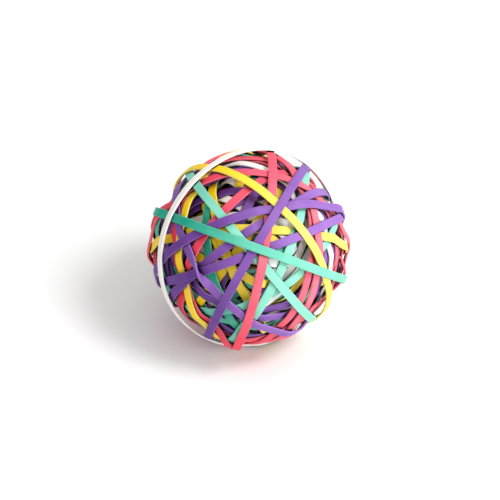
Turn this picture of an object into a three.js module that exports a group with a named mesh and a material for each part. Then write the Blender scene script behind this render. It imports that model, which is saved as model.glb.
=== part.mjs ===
// A ball wound from flat rubber bands, resting on a small flat spot.
// Millimetres, +Z up, the show side faces forwards and upwards.
import * as THREE from "three";

// Driving dimensions
const BALL_RADIUS = 31;
const CORE_RADIUS = 23.4;
const BAND_WIDTH = 2.6;
const BAND_PITCH = 0.7;
const CLEARANCE = 0.25;
const BAND_THICKNESS = BAND_PITCH - CLEARANCE;
const FLAT_SPOT_DEPTH = 1.6;
const SUPPORT_RISE = 6.8;
const TOP_BULGE = 1.6;
const TOP_BULGE_ELEVATION = 50;
const SHOW_SIDE_ELEVATION = 40;

// How finely each band is cut, and how the winding is pressed down
const STEPS = 40;
const CORE_DETAIL = 3;
const LOOKS_PER_STEP = 5;
const LOOKS_ACROSS = [-0.5, -0.25, 0, 0.25, 0.5];
const SETTLING_STAGES = 8;
const ROUNDS_PER_STAGE = 70;
const TENSION = 0.25;

const COLOURS = {
  white: 0xfaf5f0,
  teal: 0x1eb4a0,
  purple: 0x824bb9,
  red: 0xf55a78,
  yellow: 0xf0cd28,
};
const CORE_COLOUR = 0x3a3038;

// The outer bands in winding order, the innermost first. Facing the show side, the middle
// of a band lies `out` mm from the middle of the ball, in the direction `towards` (degrees
// anticlockwise from the right), and its whole loop is slid `shift` mm the same way.
const WINDING = [
  { colour: "white", towards: 85, out: 12 },
  { colour: "white", towards: 326, out: 18 },
  { colour: "teal", towards: 285, out: 20.5 },
  { colour: "white", towards: 310, out: 19.5 },
  { colour: "yellow", towards: 317, out: 23 },
  { colour: "purple", towards: 122, out: 17 },
  { colour: "purple", towards: 84, out: 21 },
  { colour: "teal", towards: 225, out: 19 },
  { colour: "purple", towards: 160, out: 6 },
  { colour: "white", towards: 235, out: 24.3 },
  { colour: "white", towards: 297, out: 25 },
  { colour: "purple", towards: 284, out: 22.5 },
  { colour: "teal", towards: 243, out: 26 },
  { colour: "yellow", towards: 325, out: 1.5, shift: -3.5 },
  { colour: "teal", towards: 190, out: 14.5 },
  { colour: "yellow", towards: 200, out: 8 },
  { colour: "purple", towards: 248, out: 21 },
  { colour: "purple", towards: 235, out: 27.8 },
  { colour: "purple", towards: 60, out: 26 },
  { colour: "teal", towards: 0, out: 25.4 },
  { colour: "purple", towards: 92, out: 26.5 },
  { colour: "purple", towards: 348, out: 26, shift: 1.5 },
  { colour: "purple", towards: 148, out: 28 },
  { colour: "red", towards: 98, out: 29.8, shift: 0.5 },
  { colour: "white", towards: 43, out: 25 },
  { colour: "red", towards: 46, out: 28.5 },
  { colour: "red", towards: 275, out: 29.2 },
  { colour: "red", towards: 84, out: 29.4 },
  { colour: "teal", towards: 172, out: 29.8, shift: 0.5 },
  { colour: "teal", towards: 299, out: 16.5 },
  { colour: "yellow", towards: 90, out: 6.5 },
  { colour: "red", towards: 140, out: 14 },
  { colour: "teal", towards: 335, out: 8, shift: 4 },
  { colour: "red", towards: 192, out: 24 },
  { colour: "yellow", towards: 178, out: 22.5 },
  { colour: "red", towards: 352, out: 21 },
  { colour: "red", towards: 2, out: 21, shift: 2 },
  { colour: "red", towards: 90, out: 23.75, restsOnIt: true, upright: true },
  { colour: "purple", towards: 125, out: 4.5 },
  { colour: "purple", towards: 290, out: 2 },
  { colour: "purple", towards: 218, out: 16.5 },
  { colour: "teal", towards: 220, out: 1, shift: -1 },
  { colour: "red", towards: 350, out: 5 },
  { colour: "purple", towards: 108, out: 10 },
  { colour: "yellow", towards: 45, out: 15, shift: 1, restsOnIt: true },
  { colour: "purple", towards: 150, out: 1.5, shift: -3 },
  { colour: "teal", towards: 70, out: 0, shift: 1 },
  { colour: "white", towards: 149, out: 26.7, shift: -1.9, restsOnIt: true },
];

const radians = THREE.MathUtils.degToRad;

// The way a band's loop faces. The loop that passes exactly through the bottom stands upright.
function loopNormal({ towards, out, upright = false }) {
  if (upright) return new THREE.Vector3(0, -1, 0);
  const sine = out / BALL_RADIUS;
  const cosine = Math.sqrt(1 - sine * sine);
  const elevation = radians(SHOW_SIDE_ELEVATION);
  const right = Math.cos(radians(towards)) * cosine;
  const up = Math.sin(radians(towards)) * cosine;
  return new THREE.Vector3(
    right,
    up * Math.sin(elevation) + sine * Math.cos(elevation),
    up * Math.cos(elevation) - sine * Math.sin(elevation)
  );
}

function stepAngle(step) {
  return ((step + 0.5) / STEPS) * 2 * Math.PI;
}

// How much fuller the ball is wound at each step of a loop. It bulges upwards and backwards.
function bulgeAlong(low, across) {
  const elevation = radians(TOP_BULGE_ELEVATION);
  const fullest = new THREE.Vector3(0, Math.cos(elevation), Math.sin(elevation));
  return Float64Array.from({ length: STEPS }, (_, step) => {
    const angle = stepAngle(step);
    const lean = Math.cos(angle) * low.dot(fullest) + Math.sin(angle) * across.dot(fullest);
    return TOP_BULGE * Math.max(0, lean) ** 4;
  });
}

// A band as it lies: the directions of its loop and one radius per step round it. The steps
// start half a step away from straight down, so the bottom span of an upright loop is level.
function layBand(row, order) {
  const normal = loopNormal(row);
  const down = new THREE.Vector3(0, 0, -1);
  const across = new THREE.Vector3().crossVectors(normal, down).normalize();
  const low = new THREE.Vector3().crossVectors(across, normal).normalize();
  const support = CORE_RADIUS + BAND_PITCH + (SUPPORT_RISE * order) / WINDING.length;
  const bulge = bulgeAlong(low, across);
  const radii = bulge.map((extra) => BALL_RADIUS - BAND_THICKNESS + extra);
  const supports = bulge.map((extra) => support + extra);
  return { ...row, normal, low, across, supports, offset: row.shift ?? 0, radii };
}

// A point of the band's middle surface, `along` steps round and `side` mm from its centre line.
function pointOn(band, along, side) {
  const step = Math.floor(along);
  const part = along - step;
  const near = band.radii[step % STEPS] * (1 - part);
  const far = band.radii[(step + 1) % STEPS] * part;
  const x = Math.cos(stepAngle(step)) * near + Math.cos(stepAngle(step + 1)) * far;
  const y = Math.sin(stepAngle(step)) * near + Math.sin(stepAngle(step + 1)) * far;
  return new THREE.Vector3()
    .addScaledVector(band.low, x)
    .addScaledVector(band.across, y)
    .addScaledVector(band.normal, band.offset + side);
}

// Where a point lies over another band's strip, or null when it is beside it.
function placeOver(band, point) {
  const aside = point.dot(band.normal) - band.offset;
  if (Math.abs(aside) > BAND_WIDTH / 2 + CLEARANCE) return null;
  const x = point.dot(band.low);
  const y = point.dot(band.across);
  const turn = (Math.atan2(y, x) / (2 * Math.PI)) * STEPS - 0.5;
  const along = (turn + STEPS) % STEPS;
  return { step: Math.floor(along), part: along - Math.floor(along), height: Math.hypot(x, y) };
}

// Height of a band's straight span above the ball's middle, at `part` of the way along it.
function spanHeight(band, step, part) {
  const half = Math.PI / STEPS;
  const turn = (2 * part - 1) * half;
  const a = band.radii[step % STEPS];
  const b = band.radii[(step + 1) % STEPS];
  const sum = a * Math.sin(half + turn) + b * Math.sin(half - turn);
  return (a * b * Math.sin(2 * half)) / sum;
}

// Every spot where a later band crosses an earlier one.
function findCrossings(bands) {
  const crossings = [];
  for (let upper = 1; upper < bands.length; upper += 1) {
    for (let look = 0; look < STEPS * LOOKS_PER_STEP; look += 1) {
      for (const share of LOOKS_ACROSS) {
        const along = look / LOOKS_PER_STEP;
        const point = pointOn(bands[upper], along, share * BAND_WIDTH);
        for (let lower = 0; lower < upper; lower += 1) {
          if (!placeOver(bands[lower], point)) continue;
          crossings.push({ upper, lower, along, share });
        }
      }
    }
  }
  return crossings;
}

function nudge(band, step, part, amount) {
  const near = 1 - part;
  const scale = amount / (near * near + part * part);
  band.radii[step % STEPS] += scale * near;
  band.radii[(step + 1) % STEPS] += scale * part;
}

// Keeps the upper band clear of the lower one, the push shared between the two.
function keepApart(bands, crossing) {
  const upper = bands[crossing.upper];
  const lower = bands[crossing.lower];
  const point = pointOn(upper, crossing.along, crossing.share * BAND_WIDTH);
  const place = placeOver(lower, point);
  if (!place) return;
  const gap = place.height - spanHeight(lower, place.step, place.part);
  const lack = BAND_PITCH - gap;
  if (lack <= 0) return;
  const step = Math.floor(crossing.along);
  nudge(upper, step, crossing.along - step, lack * 0.5);
  nudge(lower, place.step, place.part, -lack * 0.5);
}

// A stretched band pulls itself straight between the places that hold it up, but no deeper
// than the bands already wound when it went on, which also lie beneath.
function pullTight(band, pull) {
  const shrink = Math.cos((2 * Math.PI) / STEPS);
  const before = Float64Array.from(band.radii);
  for (let step = 0; step < STEPS; step += 1) {
    const last = before[(step + STEPS - 1) % STEPS];
    const next = before[(step + 1) % STEPS];
    const straight = (2 * last * next * shrink) / (last + next);
    const room = Math.max(before[step] - band.supports[step], 0);
    const drop = Math.max(before[step] - straight, 0);
    band.radii[step] -= Math.min(pull * drop, room);
  }
}

// How far out a band may reach at a step before it would press into the bench.
function benchLimit(band, step) {
  const angle = stepAngle(step);
  const drop = -(Math.cos(angle) * band.low.z + Math.sin(angle) * band.across.z);
  if (drop <= 0) return Infinity;
  const lift = band.offset * band.normal.z - (BAND_WIDTH / 2) * Math.abs(band.normal.z);
  return (BALL_RADIUS - FLAT_SPOT_DEPTH + lift) / drop - BAND_THICKNESS / 2;
}

// No band sinks into the core, and none reaches below the bench. The bands that the ball
// rests on touch the bench where they are lowest.
function holdWithin(band) {
  const least = (CORE_RADIUS + CLEARANCE) / Math.cos(Math.PI / STEPS) + BAND_THICKNESS / 2;
  for (let step = 0; step < STEPS; step += 1) {
    const limit = benchLimit(band, step);
    band.radii[step] = Math.min(Math.max(band.radii[step], least), limit);
  }
  if (!band.restsOnIt) return;
  for (const step of [0, STEPS - 1]) band.radii[step] = benchLimit(band, step);
}

// The pull eases off stage by stage, and the last two stages only clear what still touches.
// The crossings are found afresh each time, because the bands sink as they tighten.
function pressDown(bands) {
  for (let stage = 0; stage < SETTLING_STAGES; stage += 1) {
    const crossings = findCrossings(bands);
    const pull = TENSION * Math.max(0, 1 - stage / (SETTLING_STAGES - 2));
    for (let round = 0; round < ROUNDS_PER_STAGE; round += 1) {
      for (const band of bands) pullTight(band, pull);
      for (const crossing of crossings) keepApart(bands, crossing);
      bands.forEach(holdWithin);
    }
  }
}

function ringOutline(band, growth, Kind) {
  const outline = new Kind();
  for (let step = 0; step < STEPS; step += 1) {
    const reach = band.radii[step] + growth;
    const x = reach * Math.cos(stepAngle(step));
    const y = reach * Math.sin(stepAngle(step));
    if (step === 0) outline.moveTo(x, y);
    else outline.lineTo(x, y);
  }
  outline.closePath();
  return outline;
}

function bandMesh(band, name) {
  const shape = ringOutline(band, BAND_THICKNESS / 2, THREE.Shape);
  shape.holes.push(ringOutline(band, -BAND_THICKNESS / 2, THREE.Path));
  const geometry = new THREE.ExtrudeGeometry(shape, { depth: BAND_WIDTH, bevelEnabled: false });
  geometry.translate(0, 0, band.offset - BAND_WIDTH / 2);
  geometry.applyMatrix4(new THREE.Matrix4().makeBasis(band.low, band.across, band.normal));
  const material = new THREE.MeshStandardMaterial({
    color: COLOURS[band.colour],
    roughness: 0.55,
    metalness: 0,
  });
  const mesh = new THREE.Mesh(geometry, material);
  mesh.name = name;
  return mesh;
}

function coreMesh() {
  const material = new THREE.MeshStandardMaterial({ color: CORE_COLOUR, roughness: 0.8, metalness: 0 });
  const mesh = new THREE.Mesh(new THREE.IcosahedronGeometry(CORE_RADIUS, CORE_DETAIL), material);
  mesh.name = "packed_core";
  return mesh;
}

function buildBall() {
  const ball = new THREE.Group();
  ball.name = "rubber_band_ball";
  ball.add(coreMesh());
  const bands = WINDING.map(layBand);
  pressDown(bands);
  const count = {};
  for (const band of bands) {
    count[band.colour] = (count[band.colour] ?? 0) + 1;
    const number = String(count[band.colour]).padStart(2, "0");
    ball.add(bandMesh(band, `${band.colour}_band_${number}`));
  }
  const box = new THREE.Box3().setFromObject(ball);
  const middle = box.getCenter(new THREE.Vector3());
  ball.position.set(-middle.x, -middle.y, -box.min.z);
  return ball;
}

export default buildBall();
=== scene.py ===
# %% [markdown]
# # A rubber band ball
# Dozens of flat rubber bands are stretched round one another until they make a ball. The
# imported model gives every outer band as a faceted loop. Here each loop becomes a smooth
# strip of rubber, more bands are laid beneath to fill the hollows, and the ball is lit as
# it would be on a white table.

# %% Load the frame
import math
import random

import bmesh
import bpy
import numpy as np
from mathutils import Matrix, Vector


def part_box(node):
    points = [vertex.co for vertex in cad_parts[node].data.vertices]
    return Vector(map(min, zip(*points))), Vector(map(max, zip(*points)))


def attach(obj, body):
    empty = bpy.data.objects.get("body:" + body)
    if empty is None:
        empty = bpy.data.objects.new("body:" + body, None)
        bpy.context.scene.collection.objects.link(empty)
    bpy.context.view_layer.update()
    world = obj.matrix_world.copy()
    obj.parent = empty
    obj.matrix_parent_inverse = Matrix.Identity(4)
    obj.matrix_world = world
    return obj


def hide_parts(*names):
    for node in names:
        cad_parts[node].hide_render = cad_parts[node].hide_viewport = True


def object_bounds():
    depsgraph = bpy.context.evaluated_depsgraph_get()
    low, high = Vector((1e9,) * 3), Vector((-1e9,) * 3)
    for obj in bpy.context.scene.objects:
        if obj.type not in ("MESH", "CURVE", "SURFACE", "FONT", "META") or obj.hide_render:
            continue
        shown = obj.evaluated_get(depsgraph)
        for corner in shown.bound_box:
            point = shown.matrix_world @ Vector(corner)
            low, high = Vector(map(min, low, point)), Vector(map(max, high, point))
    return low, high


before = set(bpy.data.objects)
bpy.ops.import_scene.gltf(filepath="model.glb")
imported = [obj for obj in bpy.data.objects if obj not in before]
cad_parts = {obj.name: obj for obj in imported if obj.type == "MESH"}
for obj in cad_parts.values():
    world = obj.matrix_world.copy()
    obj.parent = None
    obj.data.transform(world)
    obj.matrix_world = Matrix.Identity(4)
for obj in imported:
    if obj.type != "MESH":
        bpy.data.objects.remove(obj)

CAD_BOX = [[float(value) for value in corner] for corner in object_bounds()]
print("model box in metres:", CAD_BOX)

# %% [markdown]
# ## Sizes
# The ball's own box and its core give the middle and the reach, so whatever is worked out
# from them moves with the ball. A flat band that measures 3.2 mm by 0.8 mm when slack gets
# narrower and thinner as it is stretched, and that is the size every strip has here.

# %% Sizes
MM = 0.001
low, high = (Vector(corner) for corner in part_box("packed_core"))
BALL_MIDDLE = (low + high) / 2
CORE_RADIUS = (high.x - low.x) / 2
BALL_REACH = (CAD_BOX[1][0] - CAD_BOX[0][0]) / 2
STRIP_WIDTH = 2.64 * MM
STRIP_THICKNESS = 0.66 * MM
STRIP_ROUNDING = 0.16 * MM
LAYER = 0.69 * MM
print("middle mm", [round(value / MM, 2) for value in BALL_MIDDLE])
print("core radius mm", round(CORE_RADIUS / MM, 2), "reach mm", round(BALL_REACH / MM, 2))

# %% [markdown]
# ## Reading a band back from its solid
# A solid band is a loop of flat spans that all lie in one plane. Its thinnest direction is
# the way the loop faces, so a singular value decomposition finds it. The corners then fall
# into pairs, one inside and one outside, and the middle of each pair is a point of the
# band's path. A smooth curve through those points takes the corners away.

# %% Read the bands
PATH_POINTS = 200
STEP_APART = 0.02
AWAY_FROM_ALL = [0.36, 0.48, 0.8]


def smooth_round(values, count):
    """Values spaced evenly round a loop, drawn out to more of them by a smooth curve."""
    place = np.arange(count) * len(values) / count
    index = np.floor(place).astype(int)
    t = place - index
    a, b, c, d = (values[(index + k) % len(values)] for k in (-1, 0, 1, 2))
    rise = 0.5 * (c - a)
    next_rise = 0.5 * (d - b)
    return (
        b * (2 * t**3 - 3 * t**2 + 1)
        + c * (3 * t**2 - 2 * t**3)
        + rise * (t**3 - 2 * t**2 + t)
        + next_rise * (t**3 - t**2)
    )


def read_band(node):
    """The plane and the smooth path of one solid band, as directions and a radius per step."""
    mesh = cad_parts[node].data
    corners = np.empty(len(mesh.vertices) * 3)
    mesh.vertices.foreach_get("co", corners)
    corners = np.unique(np.round(corners.reshape(-1, 3) - np.array(BALL_MIDDLE), 7), axis=0)
    facing = np.linalg.svd(corners - corners.mean(axis=0), full_matrices=False)[2][2]
    side = corners @ facing
    offset = (side.min() + side.max()) / 2
    start = np.cross(facing, AWAY_FROM_ALL)
    start /= np.linalg.norm(start)
    turn = np.cross(facing, start)
    angle = np.arctan2(corners @ turn, corners @ start)
    reach = np.hypot(corners @ turn, corners @ start)
    order = np.argsort(angle)
    angle, reach = angle[order], reach[order]
    breaks = np.where(np.diff(angle) > STEP_APART)[0] + 1
    step_reach = np.array([part.mean() for part in np.split(reach, breaks)])
    first = np.split(angle, breaks)[0].mean()
    cosine, sine = math.cos(first), math.sin(first)
    start, turn = cosine * start + sine * turn, cosine * turn - sine * start
    return {
        "node": node,
        "facing": facing,
        "start": start,
        "turn": turn,
        "offset": offset,
        "reach": smooth_round(step_reach, PATH_POINTS),
        "steps": len(step_reach),
    }


outer_bands = [read_band(name) for name in sorted(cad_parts) if name != "packed_core"]
print("bands read:", len(outer_bands))
print("steps round each:", sorted({band["steps"] for band in outer_bands}))

# %% [markdown]
# ## Filling the hollows from beneath
# A real ball is bands all the way in. The solids leave out the ones that only show as slips
# of colour deep between the others. A few filling bands are laid one by one, where a slip or
# an edge is wanted, and the rest on random loops. Each is pushed up until it meets whatever
# passes over it. It may only bend gently, so it dips under a crossing band over a few
# millimetres, as stretched rubber does.

# %% The filling's sizes and listed bands
FILL_BANDS = 104
FILL_HIGHEST = BALL_REACH * 0.975
FILL_LOWEST = CORE_RADIUS * 0.86
FILL_SLOPE = 0.80
FILL_SLIDE = 2.5 * MM
FILL_COLOURS = ["yellow", "white", "teal", "purple", "yellow", "teal", "white", "red"]
RIM_HIGHEST = BALL_REACH * 0.98
LOOKS_ACROSS = (-0.5, -0.25, 0.0, 0.25, 0.5)
COVERS_WITHIN = STRIP_WIDTH * 0.56

# The show side is the one that faces the camera, seen from this many degrees up
SHOW_SIDE_ELEVATION = 40

# Listed filling: colour, direction seen from the show side in degrees anticlockwise
# from the right, and how far out the band lies as a share of the reach. The first list is
# seen through the gaps of the show side, the second hugs the outline.
GAP_BANDS = [
    ("yellow", 208, 0.31),
    ("yellow", 252, 0.31),
    ("white", 51, 0.36),
    ("yellow", 164, 0.43),
    ("yellow", 148, 0.07),
    ("teal", 27, 0.61),
    ("white", 45, 0.59),
    ("yellow", 308, 0.09),
    ("white", 262, 0.12),
    ("teal", 318, 0.28),
]

RIM_BANDS = [
    ("teal", 125, 0.94),
    ("purple", 205, 0.93),
    ("teal", 190, 0.97),
    ("teal", 240, 0.975),
    ("purple", 262, 0.93),
    ("red", 285, 0.96),
    ("white", 312, 0.94),
    ("purple", 328, 0.975),
    ("purple", 350, 0.93),
    ("white", 12, 0.95),
    ("purple", 22, 0.975),
    ("teal", 35, 0.93),
    ("teal", 55, 0.965),
    ("white", 75, 0.93),
    ("purple", 112, 0.975),
    ("purple", 160, 0.96),
    ("yellow", 340, 0.955),
    ("teal", 222, 0.945),
]
print("laid by hand:", len(GAP_BANDS) + len(RIM_BANDS), "laid at random:", FILL_BANDS)


# %% Push a band up from beneath
PATH_BLUR = 3


def points_round(band, reach, sideways):
    """The points of a band's path, `sideways` off its centre line."""
    turn = np.arange(PATH_POINTS) * 2 * math.pi / PATH_POINTS
    flat = np.outer(np.cos(turn), band["start"]) + np.outer(np.sin(turn), band["turn"])
    return flat * reach[:, None] + band["facing"] * (band["offset"] + sideways)


def room_beneath(band, others, highest):
    """The highest a band may lie at each point of its path, under all the others."""
    room = np.full(PATH_POINTS, highest)
    for sideways in LOOKS_ACROSS:
        points = points_round(band, band["reach"], sideways * STRIP_WIDTH)
        for other in others:
            aside = points @ other["facing"] - other["offset"]
            x, y = points @ other["start"], points @ other["turn"]
            place = (np.arctan2(y, x) / (2 * math.pi) * PATH_POINTS) % PATH_POINTS
            above = other["reach"][place.astype(int) % PATH_POINTS]
            over = np.abs(aside) < COVERS_WITHIN
            room = np.where(over, np.minimum(room, above - LAYER), room)
    return room


def bend_gently(room):
    """Lowers the path beside every dip, so that no part is steeper than rubber would lie."""
    spacing = FILL_HIGHEST * 2 * math.pi / PATH_POINTS
    gentle = room.copy()
    for away in range(1, PATH_POINTS // 4):
        for way in (-away, away):
            gentle = np.minimum(gentle, np.roll(room, way) + FILL_SLOPE * spacing * away)
    near = range(-PATH_BLUR, PATH_BLUR + 1)
    blur = sum(np.roll(gentle, step) for step in near) / len(near)
    return np.maximum(np.minimum(blur, room), FILL_LOWEST)


def lay_beneath(name, facing, offset, colour, highest, others):
    """A filling band pushed up from beneath until it meets the others."""
    start = np.cross(facing, AWAY_FROM_ALL)
    start /= np.linalg.norm(start)
    band = {
        "node": name,
        "facing": facing,
        "start": start,
        "turn": np.cross(facing, start),
        "offset": offset,
        "reach": np.full(PATH_POINTS, highest * 0.97),
        "colour": colour,
    }
    band["reach"] = bend_gently(room_beneath(band, others, highest))
    return band


print("filling lies between mm:", round(FILL_LOWEST / MM, 1), "and", round(FILL_HIGHEST / MM, 1))


# %% Lay the filling bands
def seen_facing(towards, out):
    """The way a loop faces whose middle lies `out` of the reach from the middle of the view."""
    high = math.radians(SHOW_SIDE_ELEVATION)
    cosine = math.sqrt(1 - out * out)
    right = math.cos(math.radians(towards)) * cosine
    up = math.sin(math.radians(towards)) * cosine
    return np.array([
        right,
        up * math.sin(high) + out * math.cos(high),
        up * math.cos(high) - out * math.sin(high),
    ])


def any_facing(chance):
    """A direction drawn evenly from all of them."""
    height = chance.uniform(-1, 1)
    heading = chance.uniform(0, 2 * math.pi)
    flat = math.sqrt(1 - height * height)
    return np.array([flat * math.cos(heading), flat * math.sin(heading), height])


chance = random.Random(17)
fill_bands = []
for kind, rows, highest in (("gap", GAP_BANDS, FILL_HIGHEST), ("rim", RIM_BANDS, RIM_HIGHEST)):
    for index, (colour, towards, out) in enumerate(rows):
        facing = seen_facing(towards, out)
        laid = outer_bands + fill_bands
        fill_bands.append(lay_beneath(f"{kind}_{index:02d}", facing, 0.0, colour, highest, laid))
for index in range(FILL_BANDS):
    facing = any_facing(chance)
    offset = chance.uniform(-FILL_SLIDE, FILL_SLIDE)
    colour = FILL_COLOURS[index % len(FILL_COLOURS)]
    laid = outer_bands + fill_bands
    fill_bands.append(lay_beneath(f"fill_{index:02d}", facing, offset, colour, FILL_HIGHEST, laid))
depths = [band["reach"].mean() / MM for band in fill_bands]
print("filling bands:", len(fill_bands))
print("mean reach mm:", round(min(depths), 1), "to", round(max(depths), 1))

# %% [markdown]
# ## How rubber looks
# Dyed rubber is smooth but not shiny. Talc and handling leave faint cloudy patches, the
# mould leaves lines along the band, and stretching makes the colour paler. The side towards
# the lamps is painted paler as well, as painted light. The cut edges are rougher than the
# faces and are painted lighter, partly as a rougher cut and partly as a painted highlight.
# The creases where bands cross are painted dark, and the deeper a band lies the darker it is
# painted: both are painted shade.
# Every colour shares these effects, so they are one node group, and each material passes
# its own colours in. The group gives back only a colour, a roughness and a height, and the
# shader itself stays in the material.

# %% Node helpers
def new_group(name, inputs, outputs):
    group = bpy.data.node_groups.new(name, "ShaderNodeTree")
    for label, kind, value in inputs:
        socket = group.interface.new_socket(label, in_out="INPUT", socket_type=kind)
        socket.default_value = value
    for label, kind in outputs:
        group.interface.new_socket(label, in_out="OUTPUT", socket_type=kind)
    return group


def add(tree, kind, place=(0, 0), **settings):
    node = tree.nodes.new(kind)
    node.location = place
    for name, value in settings.items():
        setattr(node, name, value)
    return node


def noise(tree, vector, scale, detail, place):
    node = add(tree, "ShaderNodeTexNoise", place)
    node.inputs["Scale"].default_value = scale
    node.inputs["Detail"].default_value = detail
    tree.links.new(vector, node.inputs["Vector"])
    return node.outputs["Factor"] if "Factor" in node.outputs else node.outputs["Fac"]


def spread(tree, value, low_in, high_in, low_out, high_out, place):
    """Maps one range of values onto another."""
    node = add(tree, "ShaderNodeMapRange", place)
    node.inputs["From Min"].default_value = low_in
    node.inputs["From Max"].default_value = high_in
    node.inputs["To Min"].default_value = low_out
    node.inputs["To Max"].default_value = high_out
    tree.links.new(value, node.inputs["Value"])
    return node.outputs["Result"]


def maths(tree, operation, first, second, place):
    node = add(tree, "ShaderNodeMath", place, operation=operation)
    for socket, value in zip(node.inputs, (first, second)):
        if isinstance(value, (int, float)):
            socket.default_value = value
        else:
            tree.links.new(value, socket)
    return node.outputs[0]


def blend_colour(tree, share, first, second, place):
    node = add(tree, "ShaderNodeMix", place, data_type="RGBA")
    tree.links.new(share, node.inputs[0])
    tree.links.new(first, node.inputs[6])
    tree.links.new(second, node.inputs[7])
    return node.outputs[2]


print("node helpers: groups, nodes, noise, ranges, arithmetic and colour mixing")

# %% Mould lines
MOULD_LINES_ACROSS = 9.0
MOULD_LINES_ALONG = 60


def mould_lines(group, place, across):
    """A noise drawn out along the strip and packed close across it."""
    along = add(group, "ShaderNodeVectorMath", (-1000, -100), operation="SCALE")
    along.inputs["Scale"].default_value = MOULD_LINES_ALONG
    group.links.new(place, along.inputs[0])
    close = maths(group, "MULTIPLY", across, MOULD_LINES_ACROSS, (-1100, -250))
    lines_at = add(group, "ShaderNodeCombineXYZ", (-1000, -250))
    group.links.new(close, lines_at.inputs[0])
    lines_in = add(group, "ShaderNodeVectorMath", (-850, -150), operation="ADD")
    group.links.new(along.outputs[0], lines_in.inputs[0])
    group.links.new(lines_at.outputs[0], lines_in.inputs[1])
    return noise(group, lines_in.outputs[0], 1.0, 2, (-700, -150))


print("mould line scale across:", MOULD_LINES_ACROSS, "along:", MOULD_LINES_ALONG)

# %% Paleness from stretch, and painted light on the lamp side
# Painted light: the side that faces the lamps is painted paler, strongest towards this direction.
PAINTED_LIGHT_SIDE = (0.86, -0.40, 0.32)
PAINTED_LIGHT_FROM = -0.1 * BALL_REACH
MOST_PAINTED_LIGHT = 0.8


def stretch_and_painted_light(group, place, stretch, clouds):
    """Paler where the rubber is stretched, and painted paler on the side towards the lamps as
    painted light.
    """
    lean = add(group, "ShaderNodeVectorMath", (-1100, 800), operation="SUBTRACT")
    lean.inputs[1].default_value = BALL_MIDDLE
    group.links.new(place, lean.inputs[0])
    facing_side = add(group, "ShaderNodeVectorMath", (-950, 800), operation="DOT_PRODUCT")
    facing_side.inputs[1].default_value = PAINTED_LIGHT_SIDE
    group.links.new(lean.outputs[0], facing_side.inputs[0])
    to_lit_side = facing_side.outputs["Value"]
    painted_light = spread(group, to_lit_side, PAINTED_LIGHT_FROM, BALL_REACH, 0, MOST_PAINTED_LIGHT, (-800, 800))
    stretch_plus_painted_light = maths(group, "ADD", stretch, painted_light, (-600, 450))
    patchy = spread(group, clouds, 0.3, 0.7, 0.8, 1.0, (-600, 300))
    return maths(group, "MULTIPLY", stretch_plus_painted_light, patchy, (-450, 200))


print("most faded towards:", PAINTED_LIGHT_SIDE)

# %% Painted shade: gloom with depth, and creases
GLOOM_FROM = CORE_RADIUS * 0.94
GLOOM_TO = CORE_RADIUS * 1.06
DARKEST_GLOOM = 0.08
CREASE_REACH = 1.9 * MM
CREASE_SAMPLES = 12
DARKEST_CREASE = 0.02


def painted_shade(group, place):
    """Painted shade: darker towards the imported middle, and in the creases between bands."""
    from_middle = add(group, "ShaderNodeVectorMath", (-900, 650), operation="DISTANCE")
    from_middle.inputs[1].default_value = BALL_MIDDLE
    group.links.new(place, from_middle.inputs[0])
    depth = from_middle.outputs["Value"]
    lit = spread(group, depth, GLOOM_FROM, GLOOM_TO, DARKEST_GLOOM, 1, (-700, 650))
    # Creases found by ambient occlusion are painted dark, as painted shade.
    open_sky = add(group, "ShaderNodeAmbientOcclusion", (-900, 950), samples=CREASE_SAMPLES)
    open_sky.inputs["Distance"].default_value = CREASE_REACH
    crease = spread(group, open_sky.outputs["AO"], 0.38, 0.68, DARKEST_CREASE, 1, (-700, 950))
    return maths(group, "MULTIPLY", lit, crease, (-450, 750))


print("gloom from and to mm:", round(GLOOM_FROM / MM, 1), round(GLOOM_TO / MM, 1))

# %% Rubber effects group
CLOUD_SCALE = 160
GRAIN_SCALE = 2600
PALE_EDGE_FROM = 0.90
RICHNESS = 1.05


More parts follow.
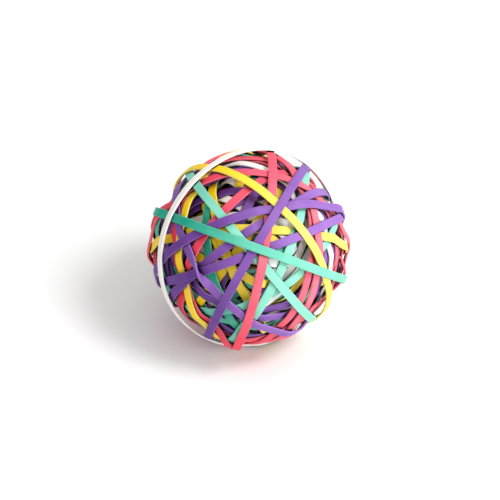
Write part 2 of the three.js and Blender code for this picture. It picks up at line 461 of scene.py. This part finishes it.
def build_rubber_effects():
    colour, number = "NodeSocketColor", "NodeSocketFloat"
    group = new_group(
        "rubber effects",
        [
            ("Dye", colour, (0.5, 0.5, 0.5, 1)),
            ("Stretched", colour, (0.8, 0.8, 0.8, 1)),
            ("Deep", colour, (0.2, 0.2, 0.2, 1)),
            ("Talc", number, 0.2),
        ],
        [("Colour", colour), ("Roughness", number), ("Height", number)],
    )
    given = add(group, "NodeGroupInput", (-1200, 0))
    dye, stretched, deep = (given.outputs[label] for label in ("Dye", "Stretched", "Deep"))
    across_at = add(group, "ShaderNodeAttribute", (-1200, -300), attribute_name="across")
    across = across_at.outputs["Fac"]
    stretch_at = add(group, "ShaderNodeAttribute", (-1200, -500), attribute_name="stretch")
    stretch = stretch_at.outputs["Fac"]
    place = add(group, "ShaderNodeTexCoord", (-1200, 300)).outputs["Object"]
    clouds = noise(group, place, CLOUD_SCALE, 4, (-900, 400))
    grain = noise(group, place, GRAIN_SCALE, 3, (-900, 200))
    lines = mould_lines(group, place, across)
    off_centre = maths(group, "ABSOLUTE", across, 0, (-900, -400))
    edge = spread(group, off_centre, PALE_EDGE_FROM, 1.0, 0, 1, (-750, -400))

    # The share of the paler tone: real stretch plus painted light on the lamp side.
    stretch_and_light_share = stretch_and_painted_light(group, place, stretch, clouds)
    body = blend_colour(group, stretch_and_light_share, dye, stretched, (-300, 200))
    shade = spread(group, lines, 0.35, 0.75, 0.0, 0.22, (-450, -100))
    lined = blend_colour(group, shade, body, deep, (-150, 100))
    dust = spread(group, clouds, 0.42, 0.72, 0, 1, (-450, 400))
    bloom = maths(group, "MULTIPLY", given.outputs["Talc"], dust, (-300, 400))
    dusty = blend_colour(group, bloom, lined, stretched, (0, 150))
    # The cut edges are painted paler, partly as a rougher cut and partly as a painted highlight.
    rim = maths(group, "MULTIPLY", edge, 0.7, (-300, -400))
    edged = blend_colour(group, rim, dusty, stretched, (150, 100))
    # Painted shade from depth and creases darkens the colour here, which is also made a little
    # richer.
    painted_shade_grade = add(group, "ShaderNodeHueSaturation", (150, 350))
    painted_shade_grade.inputs["Saturation"].default_value = RICHNESS
    group.links.new(painted_shade(group, place), painted_shade_grade.inputs["Value"])
    group.links.new(edged, painted_shade_grade.inputs["Color"])

    face_rough = spread(group, grain, 0.3, 0.7, 0.44, 0.56, (0, -200))
    edge_rough = maths(group, "MULTIPLY", edge, 0.2, (0, -350))
    rough = maths(group, "ADD", face_rough, edge_rough, (200, -200))
    line_height = maths(group, "MULTIPLY", lines, 0.7, (0, -500))
    grain_height = maths(group, "MULTIPLY", grain, 0.3, (0, -650))
    height = maths(group, "ADD", line_height, grain_height, (200, -500))
    out = add(group, "NodeGroupOutput", (450, 0))
    group.links.new(painted_shade_grade.outputs["Color"], out.inputs["Colour"])
    group.links.new(rough, out.inputs["Roughness"])
    group.links.new(height, out.inputs["Height"])
    return group


rubber_effects = build_rubber_effects()
print("group:", rubber_effects.name, "nodes:", len(rubber_effects.nodes))

# %% [markdown]
# ## Five dyes
# Each dye has its own strong colour, a paler one where the rubber is stretched thin, and a
# deeper one in the mould lines. The paler one is also painted on the side towards the lamps,
# as painted light. The colours are given as a paint chart would, from 0 to 255, and turned
# into linear light.

# %% Rubber materials
DYES = {
    "white": ((240, 236, 229), (250, 248, 245), (216, 208, 198)),
    "teal": ((0, 158, 130), (148, 222, 198), (0, 100, 80)),
    "purple": ((88, 44, 128), (162, 120, 196), (54, 26, 84)),
    "red": ((228, 54, 78), (250, 134, 150), (166, 30, 50)),
    "yellow": ((244, 200, 14), (254, 240, 132), (206, 154, 4)),
}
TALC = 0.12
BUMP_STRENGTH = 0.35
BUMP_DEPTH = 0.06 * MM
RUBBER_IOR = 1.5
RUBBER_GLOSS = 0.24


def linear(colour):
    """A paint-chart colour as the linear light that Blender's shaders work in."""
    parts = [value / 255 for value in colour]
    light = [p / 12.92 if p <= 0.04045 else ((p + 0.055) / 1.055) ** 2.4 for p in parts]
    return (*light, 1)


def rubber(name, dye, stretched, deep):
    """One dyed rubber. What is the same all over is set on the shader itself."""
    material = bpy.data.materials.new(name)
    material.use_nodes = True
    tree = material.node_tree
    shader = tree.nodes["Principled BSDF"]
    shader.inputs["IOR"].default_value = RUBBER_IOR
    shader.inputs["Specular IOR Level"].default_value = RUBBER_GLOSS
    effects = add(tree, "ShaderNodeGroup", (-500, 0))
    effects.node_tree = rubber_effects
    for label, colour in zip(("Dye", "Stretched", "Deep"), (dye, stretched, deep)):
        effects.inputs[label].default_value = linear(colour)
    effects.inputs["Talc"].default_value = TALC
    bump = add(tree, "ShaderNodeBump", (-250, -250))
    bump.inputs["Strength"].default_value = BUMP_STRENGTH
    bump.inputs["Distance"].default_value = BUMP_DEPTH
    tree.links.new(effects.outputs["Colour"], shader.inputs["Base Color"])
    tree.links.new(effects.outputs["Roughness"], shader.inputs["Roughness"])
    tree.links.new(effects.outputs["Height"], bump.inputs["Height"])
    tree.links.new(bump.outputs["Normal"], shader.inputs["Normal"])
    return material


rubbers = {name: rubber(f"{name} rubber", *tones) for name, tones in DYES.items()}
print("materials:", sorted(material.name for material in rubbers.values()))

# %% [markdown]
# ## One tree for every strip
# A band is a flat rubber strip swept along a closed path. The tree takes the path as a ring
# of edges, gives it a normal so the strip lies flat on the ball, lets it wander a little,
# and sweeps a rectangle with rounded corners along it. It also writes how far across the
# strip each point lies, which is what the material's edges and mould lines read.

# %% A wandering path
WANDER = 0.25 * MM
ROLL = 0.06
WANDER_SCALE = 45


def named(tree, name, kind, place):
    """Reads an attribute that the path carries."""
    node = add(tree, "GeometryNodeInputNamedAttribute", place, data_type=kind)
    node.inputs["Name"].default_value = name
    return node.outputs["Attribute"]


def wandering_path(tree, given):
    """The path as a curve that sways sideways and rolls a little, from one slow noise."""
    link = tree.links.new
    facing = named(tree, "facing", "FLOAT_VECTOR", (-1400, -300))
    slow = add(tree, "ShaderNodeTexNoise", (-1200, -500), noise_dimensions="4D")
    slow.inputs["Scale"].default_value = WANDER_SCALE
    slow.inputs["Detail"].default_value = 1
    link(given.outputs["Seed"], slow.inputs["W"])
    centred = maths(tree, "SUBTRACT", slow.outputs[0], 0.5, (-1000, -500))
    either_way = maths(tree, "MULTIPLY", centred, 4.0, (-850, -500))
    sway = maths(tree, "MULTIPLY", either_way, given.outputs["Wander"], (-700, -500))
    push = add(tree, "ShaderNodeVectorMath", (-550, -400), operation="SCALE")
    link(facing, push.inputs[0])
    link(sway, push.inputs["Scale"])
    moved = add(tree, "GeometryNodeSetPosition", (-400, 0))
    link(given.outputs["Path"], moved.inputs["Geometry"])
    link(push.outputs[0], moved.inputs["Offset"])
    curve = add(tree, "GeometryNodeMeshToCurve", (-200, 0))
    link(moved.outputs[0], curve.inputs["Mesh"])
    upright = add(tree, "GeometryNodeSetCurveNormal", (0, 0), mode="FREE")
    link(curve.outputs[0], upright.inputs["Curve"])
    link(facing, upright.inputs["Normal"])
    rolled = add(tree, "GeometryNodeSetCurveTilt", (150, 0))
    link(upright.outputs[0], rolled.inputs["Curve"])
    roll = maths(tree, "MULTIPLY", either_way, given.outputs["Roll"], (50, -300))
    twist = named(tree, "tilt", "FLOAT", (-50, -550))
    link(maths(tree, "ADD", roll, twist, (100, -400)), rolled.inputs["Tilt"])
    return rolled.outputs[0]


print("wander mm:", round(WANDER / MM, 2), "roll in radians:", ROLL)

# %% The cross-section
def marked(tree, geometry, name, value, place):
    """Stores a value on every point under a name that the material can read."""
    node = add(tree, "GeometryNodeStoreNamedAttribute", place)
    node.data_type, node.domain = "FLOAT", "POINT"
    node.inputs["Name"].default_value = name
    tree.links.new(geometry, node.inputs["Geometry"])
    tree.links.new(value, node.inputs["Value"])
    return node.outputs[0]


def cross_section(tree, given):
    """A flat rectangle with its corners cut, marked with how far across each corner lies."""
    link = tree.links.new
    outline = add(tree, "GeometryNodeCurvePrimitiveQuadrilateral", (-400, 400))
    link(given.outputs["Width"], outline.inputs["Width"])
    link(given.outputs["Thickness"], outline.inputs["Height"])
    rounded = add(tree, "GeometryNodeFilletCurve", (-200, 400), mode="POLY")
    rounded.inputs["Count"].default_value = 1
    link(outline.outputs[0], rounded.inputs["Curve"])
    link(given.outputs["Edge Rounding"], rounded.inputs["Radius"])
    where = add(tree, "ShaderNodeSeparateXYZ", (-400, 600))
    link(add(tree, "GeometryNodeInputPosition", (-600, 600)).outputs[0], where.inputs[0])
    half = maths(tree, "MULTIPLY", given.outputs["Width"], 0.5, (-400, 750))
    share = maths(tree, "DIVIDE", where.outputs["X"], half, (-200, 650))
    return marked(tree, rounded.outputs[0], "across", share, (0, 400))


print("cross-section mm:", round(STRIP_WIDTH / MM, 2), "by", round(STRIP_THICKNESS / MM, 2))

# %% Crisp edges
CRISP_FROM_ANGLE = 0.35


def crisp_edges(tree, geometry):
    """Smooth faces that stay crisp where they meet at a strip's long edges."""
    bend = add(tree, "GeometryNodeInputMeshEdgeAngle", (450, -200))
    gentle = add(tree, "FunctionNodeCompare", (600, -200), operation="LESS_THAN")
    gentle.inputs["B"].default_value = CRISP_FROM_ANGLE
    tree.links.new(bend.outputs["Unsigned Angle"], gentle.inputs["A"])
    crisp = add(tree, "GeometryNodeSetShadeSmooth", (650, 100), domain="EDGE")
    tree.links.new(geometry, crisp.inputs["Geometry"])
    tree.links.new(gentle.outputs["Result"], crisp.inputs["Shade Smooth"])
    soft = add(tree, "GeometryNodeSetShadeSmooth", (750, 100))
    tree.links.new(crisp.outputs[0], soft.inputs["Geometry"])
    return soft.outputs[0]


print("edges stay crisp from degrees:", round(math.degrees(CRISP_FROM_ANGLE)))

# %% The strip tree
def tree_input(tree, label, kind, value=None):
    socket = tree.interface.new_socket(label, in_out="INPUT", socket_type=kind)
    if value is not None:
        socket.default_value = value
    return socket.identifier


def build_strip_tree():
    tree = bpy.data.node_groups.new("wound strip", "GeometryNodeTree")
    number = "NodeSocketFloat"
    keys = {
        "Path": tree_input(tree, "Path", "NodeSocketGeometry"),
        "Width": tree_input(tree, "Width", number, STRIP_WIDTH),
        "Thickness": tree_input(tree, "Thickness", number, STRIP_THICKNESS),
        "Edge Rounding": tree_input(tree, "Edge Rounding", number, STRIP_ROUNDING),
        "Wander": tree_input(tree, "Wander", number, WANDER),
        "Roll": tree_input(tree, "Roll", number, ROLL),
        "Seed": tree_input(tree, "Seed", number, 0.0),
        "Stretch": tree_input(tree, "Stretch", number, 0.3),
        "Rubber": tree_input(tree, "Rubber", "NodeSocketMaterial"),
    }
    tree.interface.new_socket("Strip", in_out="OUTPUT", socket_type="NodeSocketGeometry")
    link = tree.links.new
    given = add(tree, "NodeGroupInput", (-1400, 0))
    swept = add(tree, "GeometryNodeCurveToMesh", (300, 100))
    link(wandering_path(tree, given), swept.inputs["Curve"])
    link(cross_section(tree, given), swept.inputs["Profile Curve"])
    stretched = marked(tree, swept.outputs[0], "stretch", given.outputs["Stretch"], (500, 100))
    real = add(tree, "GeometryNodeRealizeInstances", (850, 100))
    link(crisp_edges(tree, stretched), real.inputs["Geometry"])
    dyed = add(tree, "GeometryNodeSetMaterial", (1000, 100))
    link(real.outputs[0], dyed.inputs["Geometry"])
    link(given.outputs["Rubber"], dyed.inputs["Material"])
    out = add(tree, "NodeGroupOutput", (1200, 100))
    link(dyed.outputs[0], out.inputs["Strip"])
    return tree, keys


strip_tree, strip_inputs = build_strip_tree()
print("tree:", strip_tree.name, "inputs:", list(strip_inputs))

# %% [markdown]
# ## Sweeping the bands
# Each path goes into the tree as a plain ring of edges. One band rolls over as it crosses
# the show side, as a carelessly stretched one does, so it carries a tilt. The result is
# copied out as an ordinary mesh and the modifier goes, because a finished piece has nothing
# live left on it.

# %% The path of a strip
TWISTED_BAND = "purple_band_13"
TWIST_TOWARDS = (-0.44, -0.83, 0.34)
TWIST_STEPS = 18
ON_EDGE_LIFT = STRIP_WIDTH * 0.32


def half_twists(band):
    """The tilt of a band that rolls over on the show side and rolls back behind the ball."""
    if band["node"] != TWISTED_BAND:
        return np.zeros(PATH_POINTS)
    points = points_round(band, band["reach"], 0.0)
    nearest = int(np.argmax(points @ np.array(TWIST_TOWARDS)))
    quarter = PATH_POINTS // 4
    steps = (np.arange(PATH_POINTS) - nearest + quarter) % PATH_POINTS - quarter
    over = np.clip(steps / TWIST_STEPS + 0.5, 0, 1)
    back = np.clip((steps - PATH_POINTS // 2) / TWIST_STEPS + 0.5, 0, 1)
    return math.pi * (over * over * (3 - 2 * over) - back * back * (3 - 2 * back))


def ring_object(name, band):
    """A band's path as a ring of edges, lifted where the band stands on its edge."""
    tilt = half_twists(band)
    raised = band["reach"] + ON_EDGE_LIFT * np.sin(tilt) ** 2
    points = points_round(band, raised, 0.0) + np.array(BALL_MIDDLE)
    mesh = bpy.data.meshes.new(name)
    edges = [(i, (i + 1) % PATH_POINTS) for i in range(PATH_POINTS)]
    mesh.from_pydata([tuple(point) for point in points], edges, [])
    facing = mesh.attributes.new("facing", "FLOAT_VECTOR", "POINT")
    facing.data.foreach_set("vector", np.tile(band["facing"], PATH_POINTS))
    mesh.attributes.new("tilt", "FLOAT", "POINT").data.foreach_set("value", tilt)
    ring = bpy.data.objects.new(name, mesh)
    bpy.context.scene.collection.objects.link(ring)
    return ring


print("band that rolls over:", TWISTED_BAND)

# %% Sweep a strip
PRESSED_FLAT = 0.02


def rest_on_table(mesh):
    """Rubber is soft, so a strip that would dip below the table lies flat on it instead."""
    corners = np.empty(len(mesh.vertices) * 3)
    mesh.vertices.foreach_get("co", corners)
    corners = corners.reshape(-1, 3)
    below = corners[:, 2] < 0
    corners[below, 2] *= PRESSED_FLAT
    mesh.vertices.foreach_set("co", corners.ravel())
    mesh.update()


def sweep(name, band, colour, stretch, seed):
    """The finished mesh of one strip, with the modifier gone."""
    ring = ring_object(f"path_{name}", band)
    modifier = ring.modifiers.new("strip", "NODES")
    modifier.node_group = strip_tree
    modifier[strip_inputs["Seed"]] = float(seed)
    modifier[strip_inputs["Stretch"]] = float(stretch)
    modifier[strip_inputs["Rubber"]] = rubbers[colour]
    seen = ring.evaluated_get(bpy.context.evaluated_depsgraph_get())
    mesh = bpy.data.meshes.new_from_object(seen)
    mesh.name = name
    bpy.data.objects.remove(ring)
    rest_on_table(mesh)
    return mesh


def place_piece(name, mesh):
    piece = bpy.data.objects.new(name, mesh)
    bpy.context.scene.collection.objects.link(piece)
    return piece


def triangles_of(piece):
    return sum(len(face.vertices) - 2 for face in piece.data.polygons)


print("below the table a strip keeps this share of its depth:", PRESSED_FLAT)

# %% [markdown]
# ## The outer bands
# These are the bands that can be told apart, so each stays a piece of its own and takes the
# place of its solid. A longer or thinner band is stretched further, and pales. A few are
# set one by one, and the rest get a little from chance.

# %% Outer bands
STRETCH_OF = {
    "teal_band_05": 0.5,
    "teal_band_07": 0.5,
    "teal_band_08": 0.6,
    "teal_band_09": 0.8,
    "teal_band_10": 0.04,
    "purple_band_13": 0.4,
}
LEAST_STRETCH = 0.05
CHANCE_OF_STRETCH = 0.2
SEED_STEP = 1.7
outer_triangles = 0
for seed, band in enumerate(outer_bands):
    node = band["node"]
    colour = node.split("_")[0]
    by_chance = LEAST_STRETCH + CHANCE_OF_STRETCH * random.Random(seed).random()
    stretch = STRETCH_OF.get(node, by_chance)
    piece = place_piece(f"{node}_strip", sweep(node, band, colour, stretch, seed * SEED_STEP))
    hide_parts(node)
    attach(piece, "root")
    outer_triangles += triangles_of(piece)
print("outer strips:", len(outer_bands), "triangles:", outer_triangles)

# %% [markdown]
# ## The filling, one piece per colour
# The filling bands of one colour are gathered into one piece. They are seen only as slips
# between the outer bands, so nobody needs to pick one out.

# %% Filling bands
FILL_STRETCH = 0.1
FILL_SEED = 200
FILL_SEED_STEP = 1.3


def join_meshes(name, meshes):
    """One piece made of several meshes."""
    parts = [place_piece(f"{name}_{i}", mesh) for i, mesh in enumerate(meshes)]
    with bpy.context.temp_override(active_object=parts[0], selected_editable_objects=parts):
        bpy.ops.object.join()
    parts[0].name = name
    return parts[0]


for colour in DYES:
    chosen = [band for band in fill_bands if band["colour"] == colour]
    meshes = [
        sweep(band["node"], band, colour, FILL_STRETCH, FILL_SEED + index * FILL_SEED_STEP)
        for index, band in enumerate(chosen)
    ]
    filling = join_meshes(f"filling_{colour}", meshes)
    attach(filling, "root")
    print(filling.name, "bands:", len(chosen), "triangles:", triangles_of(filling))

# %% [markdown]
# ## The imported middle
# Between the deepest bands only darkness shows. A rough ball closes the middle, so no
# light passes through, and its surface is lumpy like bands pressed together. Its near-black
# colour is painted shade, standing in for bands deep in the shadow of the others.

# %% Packed middle
MIDDLE_RADIUS = FILL_LOWEST * 0.985
LUMP_HEIGHT = 0.008
PATCH_SCALE = 220
# Painted shade: the middle's near-black tones stand in for shade, not for the rubber's colour.
DEEPEST_SHADE = (22, 14, 22)
LIGHTER_MIDDLE_SHADE = (60, 38, 42)


def middle_painted_shade():
    material = bpy.data.materials.new("packed middle")
    material.use_nodes = True
    tree = material.node_tree
    shader = tree.nodes["Principled BSDF"]
    place = add(tree, "ShaderNodeTexCoord", (-900, 0)).outputs["Object"]
    patches = noise(tree, place, PATCH_SCALE, 3, (-700, 0))
    ramp = add(tree, "ShaderNodeValToRGB", (-450, 0))
    ramp.color_ramp.elements[0].color = linear(DEEPEST_SHADE)
    ramp.color_ramp.elements[1].color = linear(LIGHTER_MIDDLE_SHADE)
    tree.links.new(patches, ramp.inputs[0])
    tree.links.new(ramp.outputs[0], shader.inputs["Base Color"])
    rough = spread(tree, patches, 0.3, 0.7, 0.7, 0.9, (-450, -250))
    tree.links.new(rough, shader.inputs["Roughness"])
    return material


def packed_middle():
    """A ball whose lumps are two waves crossing each other."""
    mesh = bpy.data.meshes.new("packed_middle")
    shape = bmesh.new()
    bmesh.ops.create_icosphere(shape, subdivisions=5, radius=MIDDLE_RADIUS)
    for vertex in shape.verts:
        way = vertex.co.normalized()
        ridge = math.sin(way.x * 31 + way.y * 17) * math.sin(way.z * 29 - way.y * 11)
        vertex.co = BALL_MIDDLE + vertex.co * (1 + LUMP_HEIGHT * ridge)
    for face in shape.faces:
        face.smooth = True
    shape.to_mesh(mesh)
    shape.free()
    mesh.materials.append(middle_painted_shade())
    return place_piece("packed_middle", mesh)


middle = packed_middle()
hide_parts("packed_core")
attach(middle, "root")
print(middle.name, "triangles:", len(middle.data.polygons))

# %% [markdown]
# ## The table
# The ball stands on a bright white table. It could be a curved studio sheet, but seen from
# above a plain flat one does the same, as long as it is wide enough to fill the view.

# %% Table
TABLE_HALF = 3.0
TABLE_TONES = (0.86, 0.88)
TABLE_ROUGHNESS = 0.8
TABLE_GLOSS = 0.1
PAPER_SCALE = 40


def white_table():
    mesh = bpy.data.meshes.new("table")
    half = TABLE_HALF
    corners = [(-half, -half, 0), (half, -half, 0), (half, half, 0), (-half, half, 0)]
    mesh.from_pydata(corners, [], [(0, 1, 2, 3)])
    material = bpy.data.materials.new("white table")
    material.use_nodes = True
    tree = material.node_tree
    shader = tree.nodes["Principled BSDF"]
    shader.inputs["Specular IOR Level"].default_value = TABLE_GLOSS
    place = add(tree, "ShaderNodeTexCoord", (-700, 0)).outputs["Object"]
    paper = noise(tree, place, PAPER_SCALE, 2, (-500, 0))
    ramp = add(tree, "ShaderNodeValToRGB", (-300, 0))
    for element, tone in zip(ramp.color_ramp.elements, TABLE_TONES):
        element.color = (tone, tone, tone, 1)
    tree.links.new(paper, ramp.inputs[0])
    tree.links.new(ramp.outputs[0], shader.inputs["Base Color"])
    shader.inputs["Roughness"].default_value = TABLE_ROUGHNESS
    mesh.materials.append(material)
    table = place_piece("table", mesh)
    return table


table = white_table()
print("stage:", table.name, "metres across:", 2 * TABLE_HALF)

# %% [markdown]
# ## The light
# Rubber this matt shows its colour best in broad light. A soft lamp high on the right makes
# that side pale and throws a soft shadow to the left, a larger one low on the same side
# reaches under the ball, and white surroundings fill the rest.

# %% Light
LAMP_DISTANCE = 0.9


def aim(thing, target):
    """Turns a lamp or a camera so that it points at the target."""
    thing.rotation_euler = (Vector(target) - thing.location).to_track_quat("-Z", "Y").to_euler()


def soft_lamp(name, azimuth, elevation, size, power):
    """A round lamp at a heading and a height in degrees, aimed at the ball."""
    light = bpy.data.lights.new(name, "AREA")
    light.shape = "DISK"
    light.size = size
    light.energy = power
    lamp = bpy.data.objects.new(name, light)
    heading, height = math.radians(azimuth), math.radians(elevation)
    flat = math.cos(height)
    way = Vector((flat * math.cos(heading), flat * math.sin(heading), math.sin(height)))
    lamp.location = BALL_MIDDLE + way * LAMP_DISTANCE
    bpy.context.scene.collection.objects.link(lamp)
    aim(lamp, BALL_MIDDLE)
    return lamp


def white_room(left, right):
    """White surroundings that are brighter on the window side than on the far side."""
    world = bpy.data.worlds.new("white room")
    world.use_nodes = True
    tree = world.node_tree
    place = add(tree, "ShaderNodeTexCoord", (-800, 0)).outputs["Generated"]
    split = add(tree, "ShaderNodeSeparateXYZ", (-600, 0))
    tree.links.new(place, split.inputs[0])
    sky = tree.nodes["Background"]
    sky.inputs["Color"].default_value = (1, 1, 1, 1)
    strength = spread(tree, split.outputs["X"], -1, 1, left, right, (-400, 0))
    tree.links.new(strength, sky.inputs["Strength"])
    bpy.context.scene.world = world


soft_lamp("key lamp", azimuth=-24, elevation=54, size=0.30, power=4.6)
soft_lamp("low lamp", azimuth=-30, elevation=18, size=0.5, power=2.7)
white_room(left=0.72, right=0.96)
bpy.context.scene.view_settings.view_transform = "Standard"

# %% [markdown]
# ## The camera
# A long lens from a little way off keeps the ball round, as a catalogue view would. Its
# distance is worked out from how much of the view the ball should take up, so it follows
# the ball if the ball changes size.

# %% Camera
CAMERA_ELEVATION = math.radians(SHOW_SIDE_ELEVATION)
LENS = 120.0
SENSOR = 36.0
BALL_SHARE_OF_VIEW = 0.405
LOOKS_AT = BALL_MIDDLE + Vector((0.4, 0.0, -0.6)) * MM


def place_camera():
    data = bpy.data.cameras.new("camera")
    data.lens = LENS
    data.sensor_width = SENSOR
    half_view = SENSOR / 2 / LENS
    distance = BALL_REACH / math.sin(math.atan(BALL_SHARE_OF_VIEW * half_view))
    camera = bpy.data.objects.new("camera", data)
    way = Vector((0, -math.cos(CAMERA_ELEVATION), math.sin(CAMERA_ELEVATION)))
    camera.location = LOOKS_AT + way * distance
    bpy.context.scene.collection.objects.link(camera)
    aim(camera, LOOKS_AT)
    bpy.context.scene.camera = camera
    print("camera distance mm", round(distance / MM))


place_camera()
